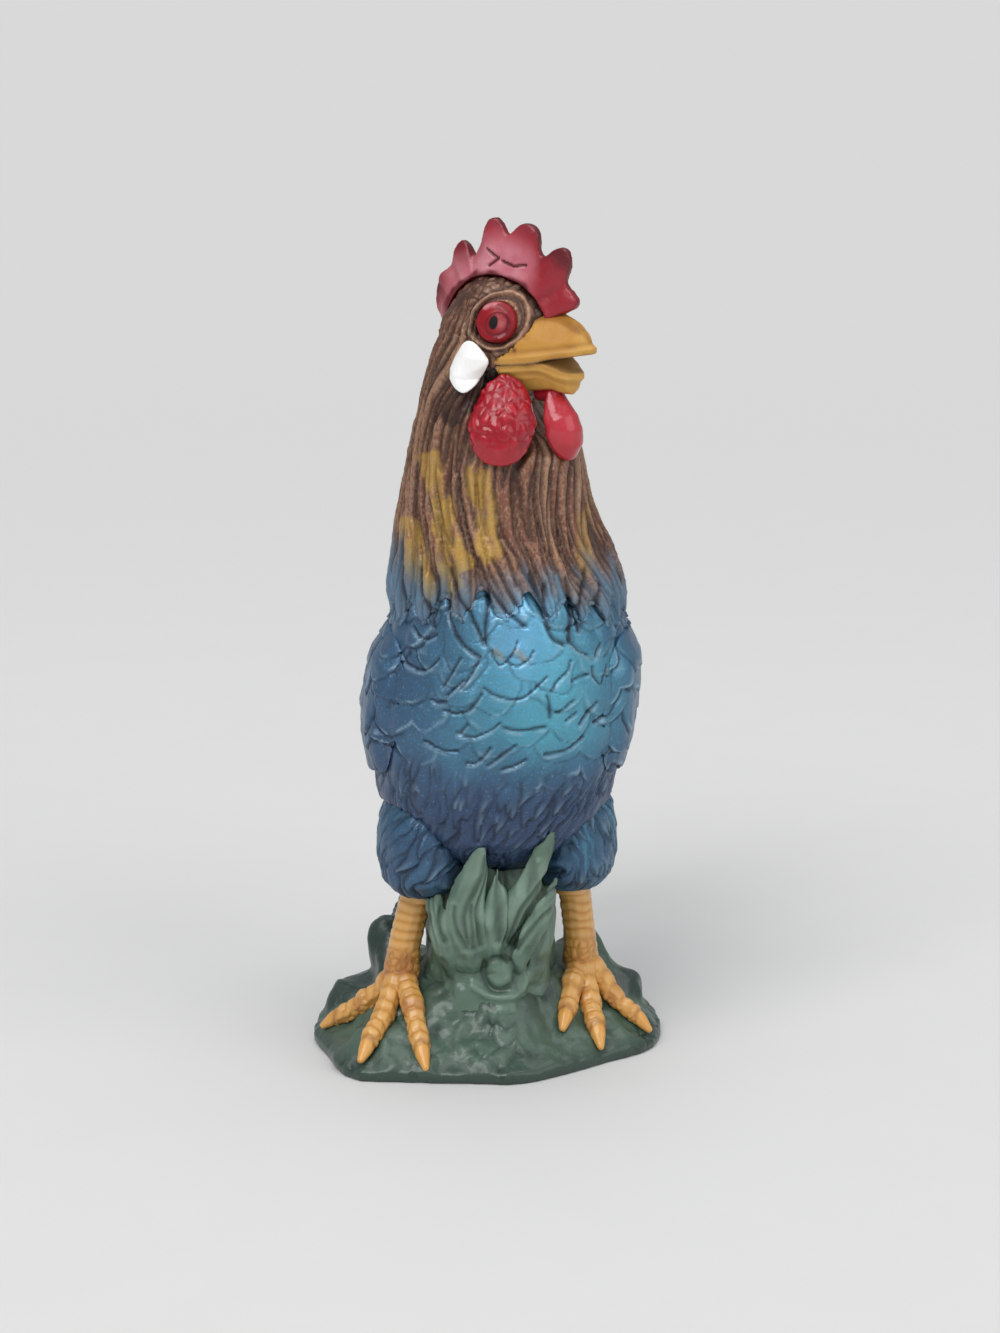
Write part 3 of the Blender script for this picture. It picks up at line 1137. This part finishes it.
class RoosterComb(bpy.types.Operator):
    """Make the fleshy comb"""
    bl_idname = "rooster.make_comb"
    bl_label = "Comb"

    def execute(self, context):
        sizes, colours = settings(context)
        paint = gloss_paint("comb_paint", colours.comb_pink, colours.comb_dark,
                            linear("#e3a4ac"), 0.4, 0.12, 0.04, colours.comb_red)
        skin = Skin("comb", 0.12, 6, sizes.seam)
        x, y, z = skin.head().T
        rise = np.hypot(y, z - HEAD_Z)
        turn = np.degrees(np.arctan2(z - HEAD_Z, y))
        lumps = skin.cloud(1.5, 101)
        grooves = noise(np.stack([turn / 6.5, rise / 6, 2 + 0 * turn], 1), 1.0, 103)
        crease = clip(sum(capsule(y, z, ends, 0.17) for ends in (
            ((0.85, 76.3), (-0.45, 75.55)), ((-0.45, 75.55), (0.4, 74.85)),
            ((-0.9, 75.35), (-2.2, 75.0)), ((-2.2, 75.0), (-3.4, 75.15)))) * (x < 0))
        rim = 1 - ramp(0.3, 0.75, np.abs(skin.out @ HEAD_SIDE))
        brow = ramp(-3.2, -6.0, y + 0.25 * (z - HEAD_Z - 7))
        rear = ramp(3.5, 6.5, y)
        root = 1 - ramp(5.9, 6.4, rise + 0.3 * skin.noise(0.7, 105))
        spikes = ramp(7.9, 10.2, rise + 0.6 * lumps)
        tops = ramp(9.3, 10.9, rise + 0.5 * lumps)
        outer = sum(bell(np.hypot(y - tip_y, z - tip_z), 2.1)
                    for tip_y, tip_z in ((4.1, 76.9), (7.1, 72.2), (-6.7, 77.0)))
        skin.carve(0.13 * lumps + 0.1 * grooves * ramp(6.3, 7.5, rise) - 0.2 * crease - 0.03)
        skin.mark(
            tint=clip(0.85 * spikes + brow + 0.5 * rim + 0.2 * rear + 0.8 * outer),
            wash=clip(0.9 * tops * (0.6 + 0.4 * rim) + 0.15 * brow + 0.95 * root * (1 - 0.5 * rear)
                      + crease + 0.5 * rim + 0.8 * outer ** 1.5
                      + 0.25 * ramp(0.1, 0.8, -grooves) + 0.15 * ramp(0, 0.8, -lumps)),
            rub=clip((0.7 * ramp(-0.3, 0.6, lumps) + 0.3 * ramp(0, 4, y)) * (1 - 0.6 * spikes)
                     * (1 - brow) * (1 - root)))
        skin.piece("fleshy_comb", "comb_paint", paint)
        return {"FINISHED"}


class RoosterBeak(bpy.types.Operator):
    """Make the open beak"""
    bl_idname = "rooster.make_beak"
    bl_label = "Beak"

    def execute(self, context):
        sizes, colours = settings(context)
        paint = gloss_paint("beak_paint", colours.beak_ochre, colours.beak_brown,
                            colours.beak_straw, 0.5, 0.04, 0.04, colours.mouth_grey, 0.3)
        for node, seed, upper in (("beak_upper", 111, True), ("beak_lower", 113, False)):
            skin = Skin(node, 0.08, 8, sizes.seam)
            p = skin.head()
            y, z = p[:, 1], p[:, 2]
            up = skin.out[:, 2]
            inward = -up if upper else up
            reach = -y
            mouth = GAPE_Z + 1.14 * clip((reach - 2.2) / 8) ** 1.3
            if not upper:
                mouth -= 0.38 + 1.43 * ramp(0.45, 1.0, (reach - 2.2) / 6.7)
            above = z - mouth
            lip = bell(above - (0.35 if upper else -0.4), 0.2)
            crease = bell(above - (0.85 if upper else -0.9), 0.22)
            streak = noise(p * (1.2, 0.35, 1.2), 0.9, seed)
            root = 1 - ramp(4.6, 5.8, reach + 0.5 * streak)
            dots = sum(bell(np.hypot(y - dot_y, z - dot_z), 0.2)
                       for dot_y, dot_z in ((-3.9, 67.8), (-2.4, 66.9)))
            inside = ramp(0.35, 0.85, inward) * bell(above + (0 if upper else 0.4), 0.9)
            shut = (0.2 * ramp(6.8, 5.4, reach) * ramp(0.3, 0.8, inward)
                    * bell(above + (0 if upper else 0.3), 0.7))
            crown = upper * 0.45 * ramp(0.3, 0.9, up) * ramp(0.4, -0.4, streak)
            skin.carve(0.1 * lip - 0.06 * crease - 0.1 * dots + 0.04 * streak + shut
                       + 0.05 * root * skin.cloud(0.8, seed + 2) - 0.03)
            skin.mark(
                wash=clip(0.22 * crease + 0.9 * dots + 0.35 * root * ramp(-0.2, 0.6, -streak)
                          + 0.16 * ramp(0.1, 0.7, -streak) + crown),
                rub=clip(0.35 * lip + 0.25 * ramp(0.0, 0.8, streak) + 0.5 * ramp(8.2, 9.8, reach)
                         + (0 if upper else 0.45)),
                tint=0.75 * inside)
            skin.piece("open_" + node, "beak_paint", paint)
        return {"FINISHED"}


class RoosterEyes(bpy.types.Operator):
    """Make the eyes with their lids, rings and pupils"""
    bl_idname = "rooster.make_eyes"
    bl_label = "Eyes"

    def execute(self, context):
        sizes, colours = settings(context)
        paint = gloss_paint("eye_paint", colours.eye_red, colours.comb_dark,
                            linear("#eaa0a6"), 0.34, 0.0, 0.01, colours.eye_black, 0.35, 0.4)
        for node, side in (("eye_left", -1), ("eye_right", 1)):
            skin = Skin(node, 0.06, 6, sizes.seam)
            y, z = (skin.head() - (0, EYE_Y, EYE_Z)).T[1:]
            far = np.hypot(y, z)
            outer = ramp(0.3, 0.7, side * (skin.out @ HEAD_SIDE))
            pupil = np.hypot((y + 0.2) / 0.4, z / 0.62)
            ring = bell(np.hypot(y + 0.4, z + 0.15) - 0.95, 0.1)
            lid = bell(far - 1.45, 0.24)
            glint = capsule(y, z, ((-0.7, -1.2), (-1.05, -0.95)), 0.18)
            sheen = bell(np.hypot(y + 0.85, z + 0.1), 0.45)
            bumps = skin.noise(0.6, 121) * ramp(1.0, 1.5, far)
            skin.carve(outer * (0.1 * lid - 0.07 * ring - 0.05 * bell(far - 1.25, 0.14)
                                + 0.04 * clip(1 - pupil) + 0.07 * bumps))
            skin.mark(
                wash=outer * clip(0.7 * ring + 0.3 * ramp(0, 0.8, -bumps)
                                  + 0.35 * (y < 0) * ramp(1.0, 1.3, far)),
                rub=clip(outer * (0.9 * lid * ramp(0, 0.5, bumps) * (z > 0.2) + 0.8 * glint + 0.5 * sheen)),
                tint=(outer > 0.1) * (1 - ramp(0.85, 1.1, pupil)))
            skin.piece("glossy_" + node, "eye_paint", paint)
        return {"FINISHED"}


class RoosterLobes(bpy.types.Operator):
    """Make the white ear lobes"""
    bl_idname = "rooster.make_lobes"
    bl_label = "Ear lobes"

    def execute(self, context):
        sizes, colours = settings(context)
        paint = gloss_paint("lobe_paint", colours.lobe_white, linear("#b9b2a6"),
                            linear("#ffffff"), 0.2, 0.5, 0.01)
        for node in ("ear_lobe_left", "ear_lobe_right"):
            skin = Skin(node, 0.08, 8, sizes.seam)
            lumps = skin.cloud(1.6, 131)
            skin.mark(wash=0.15 * ramp(0.1, 0.9, -lumps), rub=0.5 * ramp(0, 0.8, lumps))
            skin.carve(0.03 * lumps)
            rise = 2 * skin.share_up() - 1
            slide = 0.45 * bell(rise - 0.5, 0.8) - 1.8 * np.maximum(-0.5 - rise, 0)
            skin.at = skin.at + slide[:, None] * HEAD_BACK
            skin.piece("white_" + node, "lobe_paint", paint)
        return {"FINISHED"}


class RoosterWattles(bpy.types.Operator):
    """Make the wattles, the near one pebbled"""
    bl_idname = "rooster.make_wattles"
    bl_label = "Wattles"

    def execute(self, context):
        sizes, colours = settings(context)
        paint = gloss_paint("wattle_paint", colours.wattle_red, colours.wattle_dark,
                            linear("#e8606c"), 0.22, 0.32, 0.02, shine=0.4)
        for node, strength, bright in (("wattle_left", 1.0, 0.0), ("wattle_right", 0.15, 0.45)):
            skin = Skin(node, 0.1, 9, sizes.seam)
            near, second = pebbles(skin.at * (1, 1, 0.75) + 0.2 * skin.noise(1.5, 141)[:, None],
                                   sizes.pebble_d * MM, 143)
            pebble = ramp(0.0, 0.6, second - near) ** 0.7
            strength = strength * ramp(0.02, 0.34, skin.share_up())
            lumps = skin.cloud(2.2, 145)
            skin.carve(strength * sizes.pebble_h * MM * (pebble - 0.6) + 0.12 * lumps)
            skin.mark(
                wash=strength * 0.4 * (1 - pebble) + 0.25 * ramp(0, 0.9, -lumps),
                rub=(0.12 * ramp(0.2, 0.9, lumps) + 0.22 * strength * ramp(0.8, 1, pebble)
                     + bright * bell(skin.z - 61.5, 2.2) * ramp(0.1, 0.7, -skin.out[:, 1])))
            skin.piece("fleshy_" + node, "wattle_paint", paint)
        return {"FINISHED"}


class RoosterStage(bpy.types.Operator):
    """Make the floor, the lights and the camera"""
    bl_idname = "rooster.make_stage"
    bl_label = "Stage"

    @staticmethod
    def floor(colours):
        """A wide disc that fades into the backdrop's colour where the camera sees it far away"""
        paint = Paint("floor_paint")
        grain = paint.grain(9.0, 4.0)
        paint.finish(paint.mix(grain * 0.12, colours.floor_grey, linear("#c8c8c6")), 0.7,
                     paint.grain(2.0), 0.02)
        shader = paint.tree.nodes["Principled BSDF"]
        shine = paint.node("ShaderNodeEmission", {}, {"Color": (*colours.backdrop_grey, 1)})
        seen = paint.node("ShaderNodeLightPath", {}, {}, "Is Camera Ray")
        away = paint.node("ShaderNodeVectorMath", {"operation": "LENGTH"}, {0: paint.place}, "Value")
        both = paint.node("ShaderNodeMixShader", {}, {
            0: away.between(0.1, 0.45) * seen, 1: Wire(paint, shader.outputs[0]), 2: shine})
        paint.tree.links.new(both.socket, paint.tree.nodes["Material Output"].inputs["Surface"])
        mesh = bpy.data.meshes.new("floor")
        mesh.from_pydata([(FLOOR_R * math.cos(a), FLOOR_R * math.sin(a), 0)
                          for a in np.linspace(0, 2 * math.pi, 65)[:-1]], [], [range(64)])
        mesh.materials.append(paint.material)
        floor = add_object("floor", mesh)

    @staticmethod
    def room(scene, colours):
        """Soft light from all round, and the backdrop's colour for the camera"""
        world = bpy.data.worlds.new("soft_room")
        world.use_nodes = True
        links, nodes = world.node_tree.links, world.node_tree.nodes
        room, view = nodes["Background"], nodes.new("ShaderNodeBackground")
        room.inputs["Color"].default_value = (0.93, 0.95, 1.0, 1)
        room.inputs["Strength"].default_value = 0.36
        view.inputs["Color"].default_value = (*colours.backdrop_grey, 1)
        chosen, path = nodes.new("ShaderNodeMixShader"), nodes.new("ShaderNodeLightPath")
        links.new(path.outputs["Is Camera Ray"], chosen.inputs[0])
        links.new(room.outputs[0], chosen.inputs[1])
        links.new(view.outputs[0], chosen.inputs[2])
        links.new(chosen.outputs[0], nodes["World Output"].inputs["Surface"])
        scene.world = world

    def execute(self, context):
        colours, scene = context.scene.rooster_colours, context.scene
        self.floor(colours)
        for name, place, size, power in LIGHTS:
            data = bpy.data.lights.new(name, "AREA")
            data.size = size
            data.energy = power
            aim(add_object(name, data), place, LIGHT_AIM)
        self.room(scene, colours)
        data = bpy.data.cameras.new("camera")
        data.sensor_fit = "HORIZONTAL"
        data.sensor_width = 36
        data.lens = CAMERA_LENS
        data.clip_start = 0.01
        scene.camera = add_object("camera", data)
        aim(scene.camera, CAMERA_PLACE, CAMERA_AIM)
        scene.view_settings.view_transform = "Standard"
        return {"FINISHED"}


OPERATORS = (RoosterStage, RoosterGround, RoosterLegs, RoosterBody, RoosterWings, RoosterTail,
             RoosterHackle, RoosterHead, RoosterComb, RoosterBeak, RoosterEyes, RoosterLobes,
             RoosterWattles)


class RoosterPanel(bpy.types.Panel):
    """Lists the figure's pieces, sizes and colours"""
    bl_idname = "VIEW3D_PT_rooster"
    bl_label = "Painted rooster"
    bl_space_type = "VIEW_3D"
    bl_region_type = "UI"
    bl_category = "Rooster"

    def draw(self, context):
        for operator in OPERATORS:
            self.layout.operator(operator.bl_idname)
        for group in (context.scene.rooster_sizes, context.scene.rooster_colours):
            for name in group.bl_rna.properties.keys():
                if name not in ("rna_type", "name"):
                    self.layout.prop(group, name)


CLASSES = (RoosterSizes, RoosterColours, *OPERATORS, RoosterPanel)


def register():
    for kind in CLASSES:
        bpy.utils.register_class(kind)
    bpy.types.Scene.rooster_sizes = bpy.props.PointerProperty(type=RoosterSizes)
    bpy.types.Scene.rooster_colours = bpy.props.PointerProperty(type=RoosterColours)


def unregister():
    del bpy.types.Scene.rooster_sizes
    del bpy.types.Scene.rooster_colours
    for kind in reversed(CLASSES):
        bpy.utils.unregister_class(kind)


def main():
    register()
    for operator in OPERATORS:
        group, name = operator.bl_idname.split(".")
        getattr(getattr(bpy.ops, group), name)()


if __name__ == "__main__":
    main()
